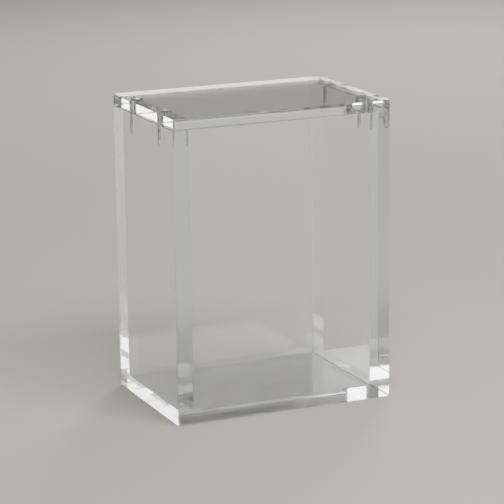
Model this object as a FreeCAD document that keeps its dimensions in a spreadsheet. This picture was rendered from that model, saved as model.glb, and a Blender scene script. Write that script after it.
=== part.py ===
import FreeCAD, Part
import math
import os
import Sketcher

# Clear acrylic display case with a screwed-on lid, in millimetres.
# The origin is the centre of the case's underside: X is its width, Y its depth (front is -Y), Z is up.
# Five panels are cemented into an open-topped box, and four countersunk machine screws hold the lid.

SIZES = {
    "CaseWidth": 100.0,        # outside, left to right
    "CaseDepth": 69.0,         # outside, front to back
    "CaseHeight": 132.0,       # underside of the base to the top of the lid
    "SheetThick": 5.0,         # base, front wall, back wall and lid
    "SideThick": 8.0,          # side walls, thick enough to take the screws
    "EdgeBreak": 0.3,          # flat taken off each polished outer edge
    "ScrewInset": 18.5,        # front or back face to the nearest screw
    "ScrewLength": 12.0,       # top of the head to the tip
    "ScrewSink": 0.1,          # head's top below the lid's top
    "HeadWidth": 5.5,
    "HeadRim": 0.2,            # short straight rim above the head's cone
    "ShankWidth": 2.9,
    "TipBreak": 0.4,
    "RecessSpan": 2.8,         # cross recess, tip to tip
    "RecessWing": 0.6,         # width of each arm of the cross
    "RecessDepth": 1.2,
    "RecessTaper": 6.0,        # degrees
    "LidHoleWidth": 3.4,
    "CountersinkWidth": 6.3,
    "CountersinkAngle": 90.0,  # degrees
    "ThreadHoleWidth": 3.1,
    "ThreadHoleDepth": 9.0,
}

doc = FreeCAD.newDocument("display_case")
sheet = doc.addObject("Spreadsheet::Sheet", "Sizes")
for row, (alias, value) in enumerate(SIZES.items(), start=1):
    sheet.set(f"A{row}", alias)
    sheet.set(f"B{row}", str(value))
    sheet.setAlias(f"B{row}", alias)
doc.recompute()


def size(formula):
    """Turn a formula of aliases into an expression that reads them from the sheet."""
    words = formula.replace("(", "( ").replace(")", " )").split()
    return " ".join(f"Sizes.{word}" if word in SIZES else word for word in words)


def new_body(name, place):
    """Start a body; place gives its origin's X, Y and Z as formulas."""
    body = doc.addObject("PartDesign::Body", name)
    body.Label = name
    for axis, formula in zip("xyz", place):
        body.setExpression(f"Placement.Base.{axis}", size(formula))
    return body


def new_sketch(body, name, plane="XY_Plane", height=None):
    """Sketch on one of the body's own origin planes, or that plane raised by a formula."""
    sketch = body.newObject("Sketcher::SketchObject", name)
    support = [feature for feature in body.Origin.OriginFeatures if feature.Role == plane][0]
    sketch.AttachmentSupport = [(support, "")]
    sketch.MapMode = "FlatFace"
    if height:
        sketch.setExpression("AttachmentOffset.Base.z", size(height))
    return sketch


def bind(sketch, constraint, name, formula):
    """Add a dimension to a sketch and tie it to the sheet."""
    index = sketch.addConstraint(constraint)
    sketch.renameConstraint(index, name)
    sketch.setExpression(f"Constraints.{name}", size(formula))


def add_outline(sketch, points):
    """Draw a closed outline of straight lines and join its corners."""
    corners = [FreeCAD.Vector(x, y, 0) for x, y in points]
    ends = corners[1:] + corners[:1]
    for start, end in zip(corners, ends):
        sketch.addGeometry(Part.LineSegment(start, end), False)
    count = len(points)
    for index in range(count):
        sketch.addConstraint(Sketcher.Constraint("Coincident", index, 2, (index + 1) % count, 1))


def add_rectangle(sketch, width, depth):
    """Rectangle centred on the sketch's origin; width and depth are formulas."""
    add_outline(sketch, [(-10, -10), (10, -10), (10, 10), (-10, 10)])
    for index, direction in enumerate(["Horizontal", "Vertical", "Horizontal", "Vertical"]):
        sketch.addConstraint(Sketcher.Constraint(direction, index))
    sketch.addConstraint(Sketcher.Constraint("Symmetric", 0, 1, 1, 2, -1, 1))
    bind(sketch, Sketcher.Constraint("DistanceX", 0, 1, 0, 2, 20), "Width", width)
    bind(sketch, Sketcher.Constraint("DistanceY", 1, 1, 1, 2, 20), "Depth", depth)


def pad(body, sketch, height):
    """Raise a sketch into a solid."""
    feature = body.newObject("PartDesign::Pad", sketch.Name + "_pad")
    feature.Profile = sketch
    feature.setExpression("Length", size(height))
    return feature


def break_edges(body, chosen):
    """Take the small polished flat off every straight edge whose middle passes the test."""
    doc.recompute()
    base = body.Tip
    names = []
    for index, edge in enumerate(base.Shape.Edges, start=1):
        if edge.Curve.TypeId == "Part::GeomLine" and chosen(edge.CenterOfMass):
            names.append(f"Edge{index}")
    feature = body.newObject("PartDesign::Chamfer", body.Name + "_edges")
    feature.Base = (base, names)
    feature.setExpression("Size", size("EdgeBreak"))
    doc.recompute()


# Each sketch is drawn roughly first, and its dimensions then move it to the sheet's sizes.
ROUGH_HOLE_WIDTH = 3.0
ROUGH_HOLE_ACROSS = 30.0
ROUGH_HOLE_ALONG = 15.0


def drill_holes(body, places, height, width, depth=None, countersink=None):
    """Drill holes down from a level face; each place is an X and a Y formula, or a plain 0."""
    sketch = new_sketch(body, body.Name + "_holes", height=height)
    for number, (x_place, y_place) in enumerate(places):
        on_middle = x_place == "0"
        rough_x = 0 if on_middle else math.copysign(ROUGH_HOLE_ACROSS, float(x_place.split()[0]))
        rough_y = math.copysign(ROUGH_HOLE_ALONG, float(y_place.split()[0]))
        centre = FreeCAD.Vector(rough_x, rough_y, 0)
        circle = Part.Circle(centre, FreeCAD.Vector(0, 0, 1), ROUGH_HOLE_WIDTH / 2)
        sketch.addGeometry(circle, False)
        diameter = Sketcher.Constraint("Diameter", number, ROUGH_HOLE_WIDTH)
        bind(sketch, diameter, f"Width{number}", width)
        if on_middle:
            sketch.addConstraint(Sketcher.Constraint("PointOnObject", number, 3, -2))
        else:
            x_distance = Sketcher.Constraint("DistanceX", -1, 1, number, 3, rough_x)
            bind(sketch, x_distance, f"X{number}", x_place)
        y_distance = Sketcher.Constraint("DistanceY", -1, 1, number, 3, rough_y)
        bind(sketch, y_distance, f"Y{number}", y_place)
    doc.recompute()
    solid_volume = body.Tip.Shape.Volume
    hole = body.newObject("PartDesign::Hole", body.Name + "_drilled")
    hole.Profile = sketch
    doc.recompute()
    hole.setExpression("Diameter", size(width))
    if depth:
        hole.DepthType = "Dimension"
        hole.DrillPoint = "Angled"
        hole.setExpression("Depth", size(depth))
    else:
        hole.DepthType = "ThroughAll"
    if countersink:
        hole.HoleCutType = "Countersink"
        hole.HoleCutCustomValues = True
        hole.setExpression("HoleCutCountersinkAngle", size("CountersinkAngle"))
        hole.setExpression("HoleCutDiameter", size(countersink))
    doc.recompute()
    assert hole.Shape.Volume < solid_volume, f"{body.Name}: the holes cut nothing"


WALL_HEIGHT = "CaseHeight - 2 * SheetThick"
SCREW_ACROSS = "( CaseWidth - SideThick ) / 2"
SCREW_ALONG = "( CaseDepth / 2 - ScrewInset )"
SIDES = {"left": "-1", "right": "1"}
ENDS = {"front": "-1", "back": "1"}
NEAR = 0.1    # an edge this close to a face lies on it


def make_base_plate():
    """Full-footprint plate that every wall stands on."""
    body = new_body("base_plate", ("0", "0", "0"))
    outline = new_sketch(body, "base_outline")
    add_rectangle(outline, "CaseWidth", "CaseDepth")
    pad(body, outline, "SheetThick")
    top = SIZES["SheetThick"]
    break_edges(body, lambda middle: middle.z < top - NEAR)
    return body


def make_side_wall(side):
    """Thick wall over the full depth, with two blind threaded holes in its top edge."""
    body = new_body(f"{side}_wall", (f"{SIDES[side]} * {SCREW_ACROSS}", "0", "SheetThick"))
    outline = new_sketch(body, f"{side}_outline")
    add_rectangle(outline, "SideThick", "CaseDepth")
    pad(body, outline, WALL_HEIGHT)
    outward = int(SIDES[side])
    half_thick = SIZES["SideThick"] / 2
    half_depth = SIZES["CaseDepth"] / 2
    top = SIZES["CaseHeight"] - 2 * SIZES["SheetThick"]

    def polished(middle):
        on_outer_face = middle.x * outward > half_thick - NEAR
        on_end_face = abs(middle.y) > half_depth - NEAR
        return (on_outer_face and middle.z > NEAR) or (on_end_face and middle.z > top - NEAR)

    break_edges(body, polished)
    places = [("0", f"{sign} * {SCREW_ALONG}") for sign in ENDS.values()]
    drill_holes(body, places, WALL_HEIGHT, "ThreadHoleWidth", depth="ThreadHoleDepth")
    return body


def make_end_wall(end):
    """Thin wall held between the two side walls."""
    place = f"{ENDS[end]} * ( CaseDepth - SheetThick ) / 2"
    body = new_body(f"{end}_wall", ("0", place, "SheetThick"))
    outline = new_sketch(body, f"{end}_outline")
    add_rectangle(outline, "CaseWidth - 2 * SideThick", "SheetThick")
    pad(body, outline, WALL_HEIGHT)
    outward = int(ENDS[end])
    half_thick = SIZES["SheetThick"] / 2
    top = SIZES["CaseHeight"] - 2 * SIZES["SheetThick"]
    break_edges(body, lambda middle: middle.y * outward > half_thick - NEAR and middle.z > top - NEAR)
    return body


def make_lid_plate():
    """Full-footprint lid with four countersunk clearance holes."""
    body = new_body("lid_plate", ("0", "0", "CaseHeight - SheetThick"))
    outline = new_sketch(body, "lid_outline")
    add_rectangle(outline, "CaseWidth", "CaseDepth")
    pad(body, outline, "SheetThick")
    break_edges(body, lambda middle: True)
    places = [
        (f"{across} * {SCREW_ACROSS}", f"{along} * {SCREW_ALONG}")
        for across in SIDES.values()
        for along in ENDS.values()
    ]
    drill_holes(body, places, "SheetThick", "LidHoleWidth", countersink="CountersinkWidth")
    return body


# Half section of a screw, from the middle of the head's top round to the middle of the tip.
ROUGH_HALF_SECTION = [(0, 0), (2.7, 0), (2.7, -0.3), (1.4, -1.6), (1.4, -11.6), (1, -12), (0, -12)]
LEVEL_LINES = (0, 5)
UPRIGHT_LINES = (1, 3, 6)


def add_half_section(sketch):
    """Half section of the screw: flat head, rim, cone, shank and chamfered tip."""
    add_outline(sketch, ROUGH_HALF_SECTION)
    sketch.addConstraint(Sketcher.Constraint("Coincident", 0, 1, -1, 1))
    for index in LEVEL_LINES:
        sketch.addConstraint(Sketcher.Constraint("Horizontal", index))
    for index in UPRIGHT_LINES:
        sketch.addConstraint(Sketcher.Constraint("Vertical", index))
    bind(sketch, Sketcher.Constraint("DistanceX", 0, 1, 0, 2, 2.7), "Head", "HeadWidth / 2")
    bind(sketch, Sketcher.Constraint("DistanceY", 1, 2, 1, 1, 0.3), "Rim", "HeadRim")
    cone_rise = Sketcher.Constraint("DistanceY", 2, 2, 2, 1, 1.3)
    bind(sketch, cone_rise, "Cone", "( HeadWidth - ShankWidth ) / 2")
    bind(sketch, Sketcher.Constraint("DistanceX", 6, 2, 3, 1, 1.4), "Shank", "ShankWidth / 2")
    bind(sketch, Sketcher.Constraint("DistanceY", 6, 1, 6, 2, 12), "Length", "ScrewLength")
    bind(sketch, Sketcher.Constraint("DistanceY", 4, 2, 4, 1, 0.4), "TipRise", "TipBreak")
    bind(sketch, Sketcher.Constraint("DistanceX", 4, 2, 4, 1, 0.4), "TipIn", "TipBreak")


def add_cross(sketch):
    """Cross of four equal arms round the sketch's origin."""
    arm, wing = SIZES["RecessSpan"] / 2, SIZES["RecessWing"] / 2
    formulas = {arm: "RecessSpan / 2", wing: "RecessWing / 2"}
    quarter = [(arm, -wing), (arm, wing), (wing, wing)]
    points = list(quarter)
    for turn in range(3):
        quarter = [(-y, x) for x, y in quarter]
        points += quarter
    add_outline(sketch, points)
    for index, point in enumerate(points):
        for axis, distance in zip("XY", point):
            constraint = Sketcher.Constraint(f"Distance{axis}", -1, 1, index, 1, distance)
            sign = "1" if distance > 0 else "-1"
            bind(sketch, constraint, f"{axis}{index}", f"{sign} * {formulas[abs(distance)]}")


def make_screw(end, side):
    """Countersunk machine screw with a cross recess; its origin is the middle of the head's top."""
    place = (
        f"{SIDES[side]} * {SCREW_ACROSS}",
        f"{ENDS[end]} * {SCREW_ALONG}",
        "CaseHeight - ScrewSink",
    )
    name = f"screw_{end}_{side}"
    body = new_body(name, place)

    profile = new_sketch(body, f"{name}_profile", plane="XZ_Plane")
    add_half_section(profile)
    turned = body.newObject("PartDesign::Revolution", f"{name}_turned")
    turned.Profile = profile
    turned.ReferenceAxis = (profile, ["V_Axis"])
    doc.recompute()

    cross = new_sketch(body, f"{name}_cross")
    add_cross(cross)
    recess = body.newObject("PartDesign::Pocket", f"{name}_recess")
    recess.Profile = cross
    recess.setExpression("Length", size("RecessDepth"))
    recess.setExpression("TaperAngle", "-1 * " + size("RecessTaper"))
    doc.recompute()
    assert recess.Shape.Volume < turned.Shape.Volume, f"{name}: the recess cut nothing"
    return body


bodies = [make_base_plate()]
bodies += [make_side_wall(side) for side in SIDES]
bodies += [make_end_wall(end) for end in ENDS]
bodies += [make_lid_plate()]
bodies += [make_screw(end, side) for end in ENDS for side in SIDES]
doc.recompute()

failed = [item.Name for item in doc.Objects if "Invalid" in item.State or "Error" in item.State]
assert not failed, f"failed features: {failed}"

os.makedirs("parts", exist_ok=True)
for body in bodies:
    shape = body.Shape
    assert not shape.isNull() and shape.isValid(), body.Label
    assert len(shape.Solids) == 1, body.Label
    shape.exportStep(os.path.join("parts", body.Label + ".step"))
    box = shape.BoundBox
    print(
        f"{body.Label:20s} volume {shape.Volume:10.2f}"
        f"  x {box.XMin:7.2f} {box.XMax:7.2f}  y {box.YMin:7.2f} {box.YMax:7.2f}"
        f"  z {box.ZMin:7.2f} {box.ZMax:7.2f}"
    )
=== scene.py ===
import math

import bmesh
import bpy
from mathutils import Matrix, Vector


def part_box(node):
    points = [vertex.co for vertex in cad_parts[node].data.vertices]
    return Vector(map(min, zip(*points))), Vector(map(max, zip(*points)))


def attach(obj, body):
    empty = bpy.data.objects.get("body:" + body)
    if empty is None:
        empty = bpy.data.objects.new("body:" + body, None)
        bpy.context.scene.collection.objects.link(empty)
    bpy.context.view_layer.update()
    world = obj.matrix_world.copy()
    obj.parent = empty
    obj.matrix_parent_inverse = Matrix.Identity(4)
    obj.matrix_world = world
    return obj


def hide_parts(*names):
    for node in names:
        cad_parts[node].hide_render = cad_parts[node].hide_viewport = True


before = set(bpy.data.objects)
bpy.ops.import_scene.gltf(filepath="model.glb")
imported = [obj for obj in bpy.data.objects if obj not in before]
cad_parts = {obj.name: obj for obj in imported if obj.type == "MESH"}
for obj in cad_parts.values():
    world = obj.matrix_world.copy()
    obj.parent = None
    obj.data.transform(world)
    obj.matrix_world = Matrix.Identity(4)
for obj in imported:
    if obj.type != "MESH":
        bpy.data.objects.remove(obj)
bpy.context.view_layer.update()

MM = 0.001


# ---------------------------------------------------------------------------------------------
# Base panel. A 5 mm sheet of clear cast acrylic over the whole footprint, sawn to size, with its
# rim diamond-polished and its arrises broken. The walls stand on it in a line of solvent cement.

EDGE_BREAK = 0.3 * MM     # flat polished on each outer arris
SEAM_GROOVE = 0.06 * MM   # hairline left where two panels meet at the surface
SHARP_TURN = math.radians(35)
NEAR = 0.01 * MM          # places closer than this count as level with each other
WELD = 0.001 * MM         # points closer than this count as one


def linear(code):
    """Linear colour of an sRGB hex code such as "D8E4E6"."""
    channels = [int(code[i:i + 2], 16) / 255 for i in (0, 2, 4)]
    return [c / 12.92 if c <= 0.04045 else ((c + 0.055) / 1.055) ** 2.4 for c in channels] + [1.0]


def add(tree, kind, settings=None, links=None):
    """Add a node; settings fill its options and sockets, links join its sockets to others."""
    node = tree.nodes.new("ShaderNode" + kind)
    for name, value in (settings or {}).items():
        if isinstance(name, str) and hasattr(node, name):
            setattr(node, name, value)
        else:
            node.inputs[name].default_value = value
    for name, source in (links or {}).items():
        tree.links.new(source, node.inputs[name])
    return node


def new_material(name):
    """An empty node material, its tree and its output."""
    material = bpy.data.materials.new(name)
    material.use_nodes = True
    tree = material.node_tree
    tree.nodes.clear()
    return material, tree, add(tree, "OutputMaterial")


def cast_acrylic_sheet():
    """Cast acrylic, the sheet's own face: glassy, with the long low ripple that casting leaves, a
    few hairline scratches from wiping. The scratches are drawn about 0.1 mm wide, several times
    their real width, so that they show."""
    material, tree, output = new_material("cast_acrylic_sheet")
    place = add(tree, "TexCoord").outputs["Object"]
    ripple = add(tree, "TexNoise", {"Scale": 1 / (22 * MM), "Detail": 1.0}, {"Vector": place})
    lie = add(tree, "Mapping", {"Rotation": (0.5, 0.3, 0.9), "Scale": (1.0, 0.04, 1.0)},
              {"Vector": place})
    hair = add(tree, "TexVoronoi", {"feature": "DISTANCE_TO_EDGE", "Scale": 1 / (9 * MM)},
               {"Vector": lie.outputs[0]})
    scratch = add(tree, "MapRange", {"From Min": 0.0, "From Max": 0.012, "To Min": 1.0, "To Max": 0.0},
                  {"Value": hair.outputs["Distance"]})
    where = add(tree, "TexNoise", {"Scale": 1 / (30 * MM), "Detail": 2.0}, {"Vector": place})
    some = add(tree, "MapRange", {"From Min": 0.52, "From Max": 0.62}, {"Value": where.outputs["Fac"]})
    sparse = add(tree, "Math", {"operation": "MULTIPLY"},
                 {0: scratch.outputs[0], 1: some.outputs[0]})
    wave = add(tree, "Bump", {"Strength": 1.0, "Distance": 0.006 * MM},
               {"Height": ripple.outputs["Fac"]})
    marks = add(tree, "Bump", {"Strength": 0.25, "Distance": 0.01 * MM, "invert": True},
                {"Height": sparse.outputs[0], "Normal": wave.outputs[0]})
    smear = add(tree, "TexNoise", {"Scale": 1 / (14 * MM), "Detail": 4.0}, {"Vector": place})
    rough = add(tree, "MapRange", {"From Min": 0.62, "From Max": 0.8, "To Min": 0.0, "To Max": 0.02},
                {"Value": smear.outputs["Fac"]})
    clear = add(tree, "BsdfPrincipled",
                {"Base Color": linear("FFFFFF"), "IOR": 1.49, "Transmission Weight": 1.0},
                {"Roughness": rough.outputs[0], "Normal": marks.outputs[0]})
    tree.links.new(clear.outputs[0], output.inputs["Surface"])
    return material


def diamond_polished_acrylic():
    """Cast acrylic cut and diamond-polished: glassy, slightly uneven, and the faintest blue-green from
    the long path through the sheet. The cutter's marks are drawn 0.7 mm across, coarser than the
    real ones, so that they show."""
    material, tree, output = new_material("diamond_polished_acrylic")
    place = add(tree, "TexCoord").outputs["Object"]
    lines = add(tree, "TexNoise", {"Scale": 1 / (0.7 * MM), "Detail": 1.0}, {"Vector": place})
    cutter = add(tree, "Bump", {"Strength": 0.3, "Distance": 0.01 * MM},
                 {"Height": lines.outputs["Fac"]})
    clear = add(tree, "BsdfPrincipled",
                {"Base Color": linear("FBFEFE"), "IOR": 1.49, "Transmission Weight": 1.0,
                 "Roughness": 0.0},
                {"Normal": cutter.outputs[0]})
    tree.links.new(clear.outputs[0], output.inputs["Surface"])
    return material


def solvent_cement_seam():
    """Two acrylic faces fused by solvent cement: optically one piece, so it shows only as scattered
    pin bubbles trapped in the joint. They are drawn about 0.5 mm across, larger than the real
    ones, so that they show."""
    material, tree, output = new_material("solvent_cement_seam")
    place = add(tree, "TexCoord").outputs["Object"]
    cells = add(tree, "TexVoronoi", {"feature": "F1", "Scale": 1 / (2.2 * MM)}, {"Vector": place})
    bubble = add(tree, "MapRange", {"From Min": 0.08, "From Max": 0.16, "To Min": 0.7, "To Max": 0.0},
                 {"Value": cells.outputs["Distance"]})
    clear = add(tree, "BsdfTransparent", {"Color": linear("FFFFFF")})
    white = add(tree, "BsdfPrincipled", {"Base Color": linear("EEF1F2"), "Roughness": 0.3})
    joint = add(tree, "MixShader", {},
                {0: bubble.outputs[0], 1: clear.outputs[0], 2: white.outputs[0]})
    tree.links.new(joint.outputs[0], output.inputs["Surface"])
    return material


def scuffed_underside():
    """Cast acrylic that has slid about on shelves: clear, with faint dull blotches and swirls. The
    swirls are drawn wider than real rub marks, so that they show."""
    material, tree, output = new_material("scuffed_acrylic_underside")
    place = add(tree, "TexCoord").outputs["Object"]
    blotch = add(tree, "TexNoise", {"Scale": 1 / (2.4 * MM), "Detail": 3.0}, {"Vector": place})
    rough = add(tree, "MapRange", {"From Min": 0.54, "From Max": 0.7, "To Min": 0.0, "To Max": 0.14},
                {"Value": blotch.outputs["Fac"]})
    bend = add(tree, "TexNoise", {"Scale": 1 / (12 * MM), "Detail": 1.0}, {"Vector": place})
    turned = add(tree, "VectorMath", {"operation": "MULTIPLY_ADD", 1: (0.02, 0.02, 0.0)},
                 {0: bend.outputs["Color"], 2: place})
    swirl = add(tree, "TexWave", {"Scale": 1 / (1.6 * MM), "Distortion": 2.0, "Detail": 2.0},
                {"Vector": turned.outputs[0]})
    line = add(tree, "MapRange", {"From Min": 0.93, "From Max": 1.0}, {"Value": swirl.outputs["Fac"]})
    marks = add(tree, "Bump", {"Strength": 0.3, "Distance": 0.01 * MM}, {"Height": line.outputs[0]})
    clear = add(tree, "BsdfPrincipled",
                {"Base Color": linear("FFFFFF"), "IOR": 1.49, "Transmission Weight": 1.0},
                {"Roughness": rough.outputs[0], "Normal": marks.outputs[0]})
    tree.links.new(clear.outputs[0], output.inputs["Surface"])
    return material


SHEET_FACE, POLISHED_EDGE, SEAM, UNDERSIDE, DRILLED, BEAD = range(6)
panel_materials = [cast_acrylic_sheet(), diamond_polished_acrylic(), solvent_cement_seam(),
                   scuffed_underside(), None, None]


def start_panel(low, high):
    """A block between two corners."""
    mesh = bmesh.new()
    bmesh.ops.create_cube(mesh, size=1.0)
    bmesh.ops.scale(mesh, vec=high - low, verts=mesh.verts)
    bmesh.ops.translate(mesh, vec=(low + high) / 2, verts=mesh.verts)
    return mesh


def round_edges(mesh, chosen, width, segments):
    """Bevel the edges whose middle passes the test."""
    edges = [edge for edge in mesh.edges if chosen((edge.verts[0].co + edge.verts[1].co) / 2)]
    bmesh.ops.bevel(mesh, geom=edges, offset=width, offset_type="OFFSET", segments=segments,
                    profile=0.5, affect="EDGES", material=-1, clamp_overlap=True)


def cut_at(mesh, axis, place):
    """Score the panel right round on a plane across one axis, where a face changes its finish."""
    normal = Vector((0, 0, 0))
    normal[axis] = 1.0
    bmesh.ops.bisect_plane(mesh, geom=mesh.verts[:] + mesh.edges[:] + mesh.faces[:],
                           plane_co=normal * place, plane_no=normal, dist=WELD / 10)


def finish_panel(mesh, name, node, body, thin_axis, is_seam):
    """Give each face its finish and make the panel a piece that stands for its node."""
    bmesh.ops.recalc_face_normals(mesh, faces=mesh.faces)
    for face in mesh.faces:
        if face.material_index in (DRILLED, BEAD):
            continue
        facing = [abs(n) for n in face.normal]
        if is_seam(face.calc_center_median(), face.normal):
            face.material_index = SEAM
        elif face.normal.z < -0.99 and face.calc_center_median().z < EDGE_BREAK:
            face.material_index = UNDERSIDE
        elif facing[thin_axis] > 0.99:
            face.material_index = SHEET_FACE
        else:
            face.material_index = POLISHED_EDGE
    for edge in mesh.edges:
        edge.smooth = edge.calc_face_angle(0.0) < SHARP_TURN
    data = bpy.data.meshes.new(name)
    mesh.to_mesh(data)
    mesh.free()
    for material in panel_materials:
        data.materials.append(material)
    piece = bpy.data.objects.new(name, data)
    bpy.context.scene.collection.objects.link(piece)
    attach(piece, body)
    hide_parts(node)
    return piece


low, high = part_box("base_plate")
wall_inner_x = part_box("front_wall")[1][0]
wall_inner_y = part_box("back_wall")[0][1]

base = start_panel(Vector(low), Vector(high))
base_top = high[2]
round_edges(base, lambda middle: middle.z < base_top - MM, EDGE_BREAK, 3)
round_edges(base, lambda middle: middle.z > base_top - NEAR, SEAM_GROOVE, 1)
for place in (-wall_inner_x, wall_inner_x):
    cut_at(base, 0, place)
for place in (-wall_inner_y, wall_inner_y):
    cut_at(base, 1, place)


def under_a_wall(centre, normal):
    inside = abs(centre.x) < wall_inner_x and abs(centre.y) < wall_inner_y
    return normal.z > 0.99 and not inside


finish_panel(base, "base_panel", "base_plate", "case", 2, under_a_wall)


# ---------------------------------------------------------------------------------------------
# Side walls. 8 mm cast acrylic over the full depth, cemented to the base, thick enough to take a
# screw in the edge. Two blind holes in each top edge are drilled and tapped M3.

def tapped_acrylic():
    """Drilled or tapped acrylic: the cutter leaves it frosted, so it scatters light and looks grey."""
    material, tree, output = new_material("drilled_and_tapped_acrylic")
    place = add(tree, "TexCoord").outputs["Object"]
    chatter = add(tree, "TexNoise", {"Scale": 1 / (0.25 * MM), "Detail": 3.0}, {"Vector": place})
    rough = add(tree, "MapRange", {"From Min": 0.3, "From Max": 0.7, "To Min": 0.1, "To Max": 0.3},
                {"Value": chatter.outputs["Fac"]})
    torn = add(tree, "Bump", {"Strength": 0.4, "Distance": 0.02 * MM},
               {"Height": chatter.outputs["Fac"]})
    frosted = add(tree, "BsdfPrincipled",
                  {"Base Color": linear("F6F9FA"), "IOR": 1.49, "Transmission Weight": 1.0},
                  {"Roughness": rough.outputs[0], "Normal": torn.outputs[0]})
    tree.links.new(frosted.outputs[0], output.inputs["Surface"])
    return material


def cured_cement():
    """Solvent cement squeezed out into an inner corner and cured: a thin clear bead, a little uneven
    and not quite glossy, that draws a fine line down the corner."""
    material, tree, output = new_material("cured_solvent_cement")
    place = add(tree, "TexCoord").outputs["Object"]
    uneven = add(tree, "TexNoise", {"Scale": 1 / (3 * MM), "Detail": 2.0}, {"Vector": place})
    rough = add(tree, "MapRange", {"From Min": 0.3, "From Max": 0.7, "To Min": 0.06, "To Max": 0.18},
                {"Value": uneven.outputs["Fac"]})
    runs = add(tree, "Bump", {"Strength": 0.4, "Distance": 0.05 * MM},
               {"Height": uneven.outputs["Fac"]})
    clear = add(tree, "BsdfPrincipled",
                {"Base Color": linear("FCFDFD"), "IOR": 1.49, "Transmission Weight": 1.0},
                {"Roughness": rough.outputs[0], "Normal": runs.outputs[0]})
    tree.links.new(clear.outputs[0], output.inputs["Surface"])
    return material


panel_materials[DRILLED] = tapped_acrylic()
panel_materials[BEAD] = cured_cement()

BEAD_SIDE = 0.3 * MM
BEAD_BITE = 0.01 * MM     # the bead's sides run this far into the panels it joins
BEAD_STOP = 0.1 * MM      # an upright bead ends this far below the walls' top


def lay_bead(mesh, start, end, across, up):
    """A three-sided bead of cement along an inner corner, its sides lying across and up from it."""
    corner = start - (across + up) * BEAD_BITE
    verts = [mesh.verts.new(corner + side) for side in (Vector(), across * BEAD_SIDE, up * BEAD_SIDE)]
    old = set(mesh.faces)
    cap = mesh.faces.new(verts)
    made = bmesh.ops.extrude_face_region(mesh, geom=[cap])["geom"]
    bmesh.ops.translate(mesh, vec=end - start,
                        verts=[item for item in made if isinstance(item, bmesh.types.BMVert)])
    for face in mesh.faces:
        if face not in old:
            face.material_index = BEAD


THREAD_PITCH = 0.5 * MM
HOLE_RADIUS = 1.55 * MM
HOLE_DEPTH = 9.0 * MM
HOLE_MOUTH = 0.25 * MM    # plain part above the thread
DRILL_HALF_POINT = math.radians(59)
THREAD_HEIGHT = 0.22 * MM
THREAD_ROOT_FLAT = 0.12   # of half a pitch
THREAD_FLANK = 0.72       # of half a pitch
RINGS_PER_PITCH = 6
ROUND_STEPS = 40


def thread_wave(turn):
    """Height of the thread from 0 at its root to 1 at its crest, at a count of turns."""
    slope = abs((turn % 1.0) * 2 - 1)
    return min(1.0, max(0.0, (slope - THREAD_ROOT_FLAT) / THREAD_FLANK))


def run_out(distance, length, ease):
    """1 along a thread, easing to 0 at both of its ends."""
    return max(0.0, min(1.0, distance / ease, (length - distance) / ease))


def spin_line(mesh, points, centre):
    """Turn a line of (radius, height) points round a vertical axis into a closed skin."""
    verts = [mesh.verts.new((centre.x + radius, centre.y, height)) for radius, height in points]
    edges = [mesh.edges.new(pair) for pair in zip(verts, verts[1:])]
    bmesh.ops.spin(mesh, geom=verts + edges, cent=(centre.x, centre.y, 0), axis=(0, 0, 1),
                   angle=math.tau, steps=ROUND_STEPS, use_merge=True)


def drill_tapped_hole(mesh, centre, top):
    """A blind tapped hole below a mouth at height top; returns the mouth's ring of edges. Known fault:
    its ridges are level with the screw's crests, half a turn from where they would mesh."""
    old = set(mesh.faces)
    threaded = HOLE_DEPTH - HOLE_MOUTH
    rings = int(threaded / THREAD_PITCH * RINGS_PER_PITCH)
    line = [(HOLE_RADIUS, top)]
    line += [(HOLE_RADIUS, top - HOLE_MOUTH - threaded * ring / rings) for ring in range(rings + 1)]
    line += [(0.0, top - HOLE_DEPTH - HOLE_RADIUS / math.tan(DRILL_HALF_POINT))]
    spin_line(mesh, line, centre)
    faces = [face for face in mesh.faces if face not in old]
    verts = {vert for face in faces for vert in face.verts}
    bmesh.ops.remove_doubles(mesh, verts=list(verts), dist=WELD)
    faces = [face for face in mesh.faces if face not in old]
    for vert in {vert for face in faces for vert in face.verts}:
        offset = vert.co - Vector((centre.x, centre.y, vert.co.z))
        down = top - vert.co.z
        if offset.length < HOLE_RADIUS / 2:
            continue
        turn = down / THREAD_PITCH + math.atan2(offset.y, offset.x) / math.tau
        ridge = THREAD_HEIGHT * thread_wave(turn) * run_out(down - HOLE_MOUTH, threaded, THREAD_PITCH)
        radius = HOLE_RADIUS - ridge
        vert.co = Vector((centre.x, centre.y, vert.co.z)) + offset.normalized() * radius
    for face in faces:
        face.material_index = DRILLED
        face.smooth = True
    return [edge for edge in mesh.edges if edge.is_boundary and edge.link_faces[0] in faces]


def refill(mesh, height, facing, rings):
    """Replace the level face at a height by one with openings at the rings."""
    level = [face for face in mesh.faces
             if abs(face.calc_center_median().z - height) < WELD and face.normal.z * facing > 0.99
             and face.material_index != DRILLED]
    rim = {edge for face in level for edge in face.edges
           if sum(other in level for other in edge.link_faces) == 1}
    bmesh.ops.delete(mesh, geom=level, context="FACES_KEEP_BOUNDARY")
    bmesh.ops.triangle_fill(mesh, use_beauty=True, use_dissolve=False, edges=list(rim) + rings)


screw_places = {}
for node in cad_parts:
    if node.startswith("screw"):
        near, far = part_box(node)
        screw_places[node] = (Vector(near) + Vector(far)) / 2

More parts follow.
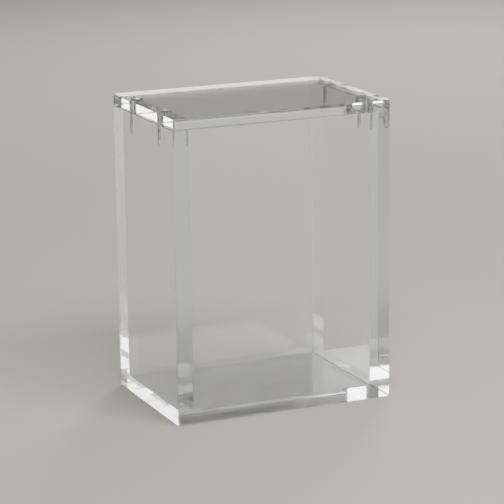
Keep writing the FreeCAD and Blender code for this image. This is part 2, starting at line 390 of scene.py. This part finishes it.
for side in ("left", "right"):
    node = side + "_wall"
    low, high = (Vector(corner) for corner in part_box(node))
    outward = 1 if side == "right" else -1
    middle_x, top, bottom = (low.x + high.x) / 2, high.z, low.z
    wall = start_panel(low, high)
    outer_x = max(abs(low.x), abs(high.x))

    round_edges(wall, lambda m: abs(m.x) > outer_x - NEAR and bottom + MM < m.z < top - MM,
                EDGE_BREAK, 3)
    round_edges(wall, lambda m: m.z > top - NEAR and abs(m.x) > wall_inner_x + NEAR,
                EDGE_BREAK, 3)
    round_edges(wall, lambda m: (m.z < bottom + NEAR and not abs(m.x) < wall_inner_x + NEAR)
                or (abs(m.x) < wall_inner_x + NEAR and abs(m.y) > high.y - NEAR), SEAM_GROOVE, 1)
    for place in (-wall_inner_y, wall_inner_y):
        cut_at(wall, 1, place)
    bmesh.ops.recalc_face_normals(wall, faces=wall.faces)

    mouths = []
    for place in screw_places.values():
        if place.x * outward > 0:
            mouths += drill_tapped_hole(wall, Vector((middle_x, place.y, 0)), top)
    refill(wall, top, 1, mouths)
    start, end = (Vector((outward * wall_inner_x, y, bottom)) for y in (-wall_inner_y, wall_inner_y))
    lay_bead(wall, start, end, Vector((-outward, 0, 0)), Vector((0, 0, 1)))

    def against_a_panel(centre, normal, outward=outward, bottom=bottom):
        beside_end_wall = normal.x * outward < -0.99 and abs(centre.y) > wall_inner_y
        return beside_end_wall or (normal.z < -0.99 and centre.z < bottom + WELD)

    finish_panel(wall, side + "_panel", node, "case", 0, against_a_panel)


# ---------------------------------------------------------------------------------------------
# Front and back walls. 5 mm cast acrylic, held between the side walls and cemented on three edges.

for end in ("front", "back"):
    node = end + "_wall"
    low, high = (Vector(corner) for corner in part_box(node))
    outward = 1 if end == "back" else -1
    outer_y, top, bottom = max(abs(low.y), abs(high.y)), high.z, low.z
    wall = start_panel(low, high)
    round_edges(wall, lambda m: m.z > top - NEAR and abs(m.y) > outer_y - NEAR, EDGE_BREAK, 3)
    round_edges(wall, lambda m: abs(m.y) > outer_y - NEAR and m.z < top - MM, SEAM_GROOVE, 1)
    inward = Vector((0, -outward, 0))
    corners = [Vector((x, outward * wall_inner_y, bottom)) for x in (-wall_inner_x, wall_inner_x)]
    lay_bead(wall, corners[0], corners[1], inward, Vector((0, 0, 1)))
    for corner in corners:
        lay_bead(wall, corner, Vector((corner.x, corner.y, top - BEAD_STOP)), inward,
                 Vector((-math.copysign(1, corner.x), 0, 0)))

    def against_a_panel(centre, normal, bottom=bottom):
        return abs(normal.x) > 0.99 or (normal.z < -0.99 and centre.z < bottom + WELD)

    finish_panel(wall, end + "_panel", node, "case", 1, against_a_panel)


# ---------------------------------------------------------------------------------------------
# Lid. 5 mm cast acrylic over the full footprint, polished all round, drilled and countersunk for
# the four screws. It lies on the walls' top edges with only a film of air between.

AIR_FILM = 0.04 * MM
LID_HOLE_RADIUS = 1.7 * MM
COUNTERSINK_RADIUS = 3.15 * MM

low, high = (Vector(corner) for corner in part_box("lid_plate"))
low.z += AIR_FILM
lid = start_panel(low, high)
round_edges(lid, lambda middle: True, EDGE_BREAK, 3)
bmesh.ops.recalc_face_normals(lid, faces=lid.faces)
mouths, exits = [], []
for place in screw_places.values():
    old = set(lid.faces)
    cone = COUNTERSINK_RADIUS - LID_HOLE_RADIUS
    line = [(COUNTERSINK_RADIUS, high.z), (LID_HOLE_RADIUS, high.z - cone), (LID_HOLE_RADIUS, low.z)]
    spin_line(lid, line, place)
    faces = [face for face in lid.faces if face not in old]
    for face in faces:
        face.material_index = DRILLED
        face.smooth = True
    for edge in {edge for face in faces for edge in face.edges if edge.is_boundary}:
        (mouths if edge.verts[0].co.z > high.z - NEAR else exits).append(edge)
refill(lid, high.z, 1, mouths)
refill(lid, low.z, -1, exits)
finish_panel(lid, "lid_panel", "lid_plate", "lid", 2, lambda centre, normal: False)


# ---------------------------------------------------------------------------------------------
# Screws. M3 by 12 countersunk machine screws with a cross recess, cold-headed from stainless wire
# and thread-rolled, then left bright.

def bright_stainless_steel():
    """Stainless steel, cold-headed and rolled: bright, slightly warm and a little uneven in tone and
    polish. The grain is drawn 0.6 mm across, coarser than the real one, so that it shows."""
    material, tree, output = new_material("bright_stainless_steel")
    place = add(tree, "TexCoord").outputs["Object"]
    grain = add(tree, "TexNoise", {"Scale": 1 / (0.6 * MM), "Detail": 4.0}, {"Vector": place})
    rough = add(tree, "MapRange", {"From Min": 0.3, "From Max": 0.7, "To Min": 0.16, "To Max": 0.34},
                {"Value": grain.outputs["Fac"]})
    tone = add(tree, "ValToRGB", {}, {"Fac": grain.outputs["Fac"]})
    tone.color_ramp.elements[0].color = linear("A9A7A3")
    tone.color_ramp.elements[1].color = linear("D6D4CF")
    dents = add(tree, "Bump", {"Strength": 0.2, "Distance": 0.02 * MM},
                {"Height": grain.outputs["Fac"]})
    steel = add(tree, "BsdfPrincipled", {"Metallic": 1.0},
                {"Base Color": tone.outputs["Color"], "Roughness": rough.outputs[0],
                 "Normal": dents.outputs[0]})
    tree.links.new(steel.outputs[0], output.inputs["Surface"])
    return material


steel = bright_stainless_steel()
HEAD_RADIUS = 2.75 * MM
HEAD_RIM = 0.2 * MM
SHANK_RADIUS = 1.45 * MM
SCREW_LENGTH = 12.0 * MM
PLAIN_NECK = 0.5 * MM
TIP_BREAK = 0.4 * MM
RECESS_HALF_SPAN = 1.4 * MM
RECESS_HALF_WING = 0.3 * MM
RECESS_DEPTH = 1.2 * MM
RECESS_TAPER = 0.72       # size of the recess's floor against its mouth
SCREW_SHARP_TURN = math.radians(28)


def make_screw(place, top):
    """One screw with a real helical thread, head up, its axis through place."""
    mesh = bmesh.new()
    cone = HEAD_RADIUS - SHANK_RADIUS
    start = top - HEAD_RIM - cone - PLAIN_NECK
    end = top - SCREW_LENGTH + TIP_BREAK
    threaded = start - end
    rings = int(threaded / THREAD_PITCH * RINGS_PER_PITCH)
    line = [(HEAD_RADIUS, top), (HEAD_RADIUS, top - HEAD_RIM), (SHANK_RADIUS, start + PLAIN_NECK)]
    line += [(SHANK_RADIUS, start - threaded * ring / rings) for ring in range(rings + 1)]
    line += [(SHANK_RADIUS - TIP_BREAK, top - SCREW_LENGTH)]
    spin_line(mesh, line, place)
    for vert in mesh.verts:
        axis = Vector((place.x, place.y, vert.co.z))
        offset = vert.co - axis
        along = start - vert.co.z
        if 0 <= along <= threaded + WELD:
            turn = (top - vert.co.z) / THREAD_PITCH + math.atan2(offset.y, offset.x) / math.tau
            groove = THREAD_HEIGHT * (1 - thread_wave(turn)) * run_out(along, threaded, THREAD_PITCH)
            vert.co = axis + offset.normalized() * (SHANK_RADIUS - groove)
    rim = [edge for edge in mesh.edges if edge.is_boundary and edge.verts[0].co.z > top - NEAR]
    tip = [edge for edge in mesh.edges if edge.is_boundary and edge.verts[0].co.z < top - NEAR]
    bmesh.ops.holes_fill(mesh, edges=tip, sides=0)

    arm, half = RECESS_HALF_SPAN, RECESS_HALF_WING
    outline = []
    for turn in range(4):
        spin = Matrix.Rotation(math.radians(90 * turn), 3, "Z")
        outline += [spin @ Vector(corner)
                    for corner in ((arm, -half, 0), (arm, half, 0), (half, half, 0))]
    verts = [mesh.verts.new(Vector((place.x, place.y, top)) + corner) for corner in outline]
    edges = [mesh.edges.new((verts[i], verts[(i + 1) % len(verts)])) for i in range(len(verts))]
    bmesh.ops.triangle_fill(mesh, use_beauty=True, use_dissolve=False, edges=rim + edges)
    sunk = bmesh.ops.extrude_edge_only(mesh, edges=edges)["geom"]
    floor_verts = [item for item in sunk if isinstance(item, bmesh.types.BMVert)]
    floor_edges = [item for item in sunk if isinstance(item, bmesh.types.BMEdge)
                   and all(vert in floor_verts for vert in item.verts)]
    bmesh.ops.translate(mesh, vec=(0, 0, -RECESS_DEPTH), verts=floor_verts)
    about_axis = Matrix.Translation((-place.x, -place.y, 0))
    bmesh.ops.scale(mesh, vec=(RECESS_TAPER, RECESS_TAPER, 1), space=about_axis, verts=floor_verts)
    bmesh.ops.triangle_fill(mesh, use_beauty=True, use_dissolve=False, edges=floor_edges)
    bmesh.ops.recalc_face_normals(mesh, faces=mesh.faces)
    for face in mesh.faces:
        face.smooth = True
    return mesh


for node, place in screw_places.items():
    _, end, side = node.split("_")
    name = f"{end}_{side}_machine_screw"
    mesh = make_screw(place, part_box(node)[1][2])
    data = bpy.data.meshes.new(name)
    mesh.to_mesh(data)
    mesh.free()
    data.set_sharp_from_angle(angle=SCREW_SHARP_TURN)
    data.materials.append(steel)
    piece = bpy.data.objects.new(name, data)
    bpy.context.scene.collection.objects.link(piece)
    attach(piece, node)
    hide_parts(node)


# ---------------------------------------------------------------------------------------------
# Studio: a pale matt paper floor in a dim even room, lit by a soft box in front, one above and one
# behind. Square-cornered clear sheet only turns light into mirrored directions, so three low soft
# boxes stand in those directions and show inside the edges.

def matt_paper():
    """Heavy matt background paper, pale and slightly warm. Its tooth is drawn 1.5 mm across, coarser
    than the real one, so that it shows."""
    material, tree, output = new_material("matt_background_paper")
    place = add(tree, "TexCoord").outputs["Object"]
    tooth = add(tree, "TexNoise", {"Scale": 1 / (1.5 * MM), "Detail": 3.0}, {"Vector": place})
    bump = add(tree, "Bump", {"Strength": 0.05, "Distance": 0.05 * MM},
               {"Height": tooth.outputs["Fac"]})
    paper = add(tree, "BsdfPrincipled", {"Base Color": linear("D9D7D2"), "Roughness": 0.9},
                {"Normal": bump.outputs[0]})
    tree.links.new(paper.outputs[0], output.inputs["Surface"])
    return material


FLOOR_REACH = 4.0
FLOOR_GAP = 0.03 * MM     # air between the base and the paper
mesh = bmesh.new()
bmesh.ops.create_grid(mesh, x_segments=2, y_segments=2, size=FLOOR_REACH)
bmesh.ops.translate(mesh, vec=(0, 0, -FLOOR_GAP), verts=mesh.verts)
data = bpy.data.meshes.new("studio_floor")
mesh.to_mesh(data)
mesh.free()
data.materials.append(matt_paper())
floor = bpy.data.objects.new("studio_floor", data)
bpy.context.scene.collection.objects.link(floor)

world = bpy.data.worlds.new("soft_room")
bpy.context.scene.world = world
world.use_nodes = True
world.node_tree.nodes["Background"].inputs["Color"].default_value = linear("C4C2BF")
world.node_tree.nodes["Background"].inputs["Strength"].default_value = 0.22


def soft_box(name, place, aim, width, height, watts):
    """A flat soft light at a place, turned to face another."""
    lamp = bpy.data.lights.new(name, "AREA")
    lamp.shape = "RECTANGLE"
    lamp.size, lamp.size_y, lamp.energy = width, height, watts
    light = bpy.data.objects.new(name, lamp)
    turn = (Vector(aim) - Vector(place)).to_track_quat("-Z", "Y")
    light.matrix_world = Matrix.Translation(place) @ turn.to_matrix().to_4x4()
    bpy.context.scene.collection.objects.link(light)


soft_box("key_in_front", (0.1, -0.55, 0.75), (0.1, -0.38, 0), 0.9, 0.4, 7)
soft_box("fill_above", (-0.1, -0.2, 1.6), (0, 0, 0), 1.2, 1.2, 3)
soft_box("back_right", (0.75, 1.0, 0.75), (0, 0, 0.05), 0.4, 0.4, 8)
soft_box("low_back_left", (-0.52, 1.18, 0.36), (0, 0, 0.06), 0.34, 0.2, 1.8)
soft_box("low_front_right", (0.52, -1.18, 0.36), (0, 0, 0.06), 0.34, 0.2, 1.8)
soft_box("low_front_left", (-0.56, -1.26, 0.36), (0, 0, 0.06), 0.3, 0.18, 1.2)

CAMERA_PLACE = Vector((-0.3958, -0.8993, 0.3039))
CAMERA_AIM = Vector((0.0, 0.0, 0.063))
CAMERA_ROLL = math.radians(-0.7)
camera = bpy.data.cameras.new("camera")
camera.sensor_width = 36.0
camera.lens = 165.0
camera_object = bpy.data.objects.new("camera", camera)
turn = (CAMERA_AIM - CAMERA_PLACE).to_track_quat("-Z", "Y").to_matrix().to_4x4()
roll = Matrix.Rotation(CAMERA_ROLL, 4, "Z")
camera_object.matrix_world = Matrix.Translation(CAMERA_PLACE) @ turn @ roll
bpy.context.scene.collection.objects.link(camera_object)
bpy.context.scene.camera = camera_object

# Light runs along inside the sheets from face to face, so its paths have many turns.
paths = bpy.context.scene.cycles
paths.max_bounces = 64
paths.glossy_bounces = 64
paths.transmission_bounces = 64
paths.transparent_max_bounces = 64
